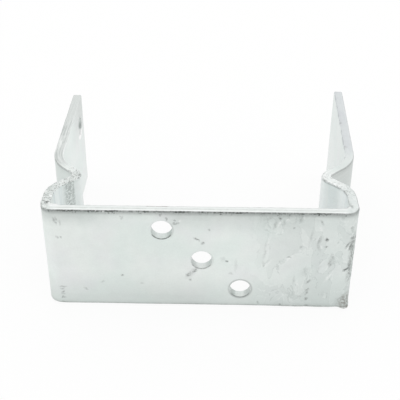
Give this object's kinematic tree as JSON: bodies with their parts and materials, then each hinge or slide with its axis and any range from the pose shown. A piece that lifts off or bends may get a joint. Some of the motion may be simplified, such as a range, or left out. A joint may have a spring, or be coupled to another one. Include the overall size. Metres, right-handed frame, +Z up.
{
  "type": "u bracket",
  "caption": "U-shaped bracket bent from one flat steel bar, with a slanting row of bolt holes in its web, an inward crimp in each leg and a bolt hole near one leg's end.",
  "frame": {"origin": "centre of the middle hole of the web, on the web's outer face", "axes": "+X along the web, +Y from the web's outer face into the U along the legs, +Z up across the bar's width; the bracket stands on the bar's lower long edge"},
  "size_m": [0.168, 0.1376, 0.06],
  "materials": {
    "galvanised_steel": "hot-dip galvanised, pale grey and semi-matt, with faint runs and small zinc lumps"
  },
  "bodies": {
    "root": {"u_bracket": "galvanised_steel"}
  },
  "joints": []
}
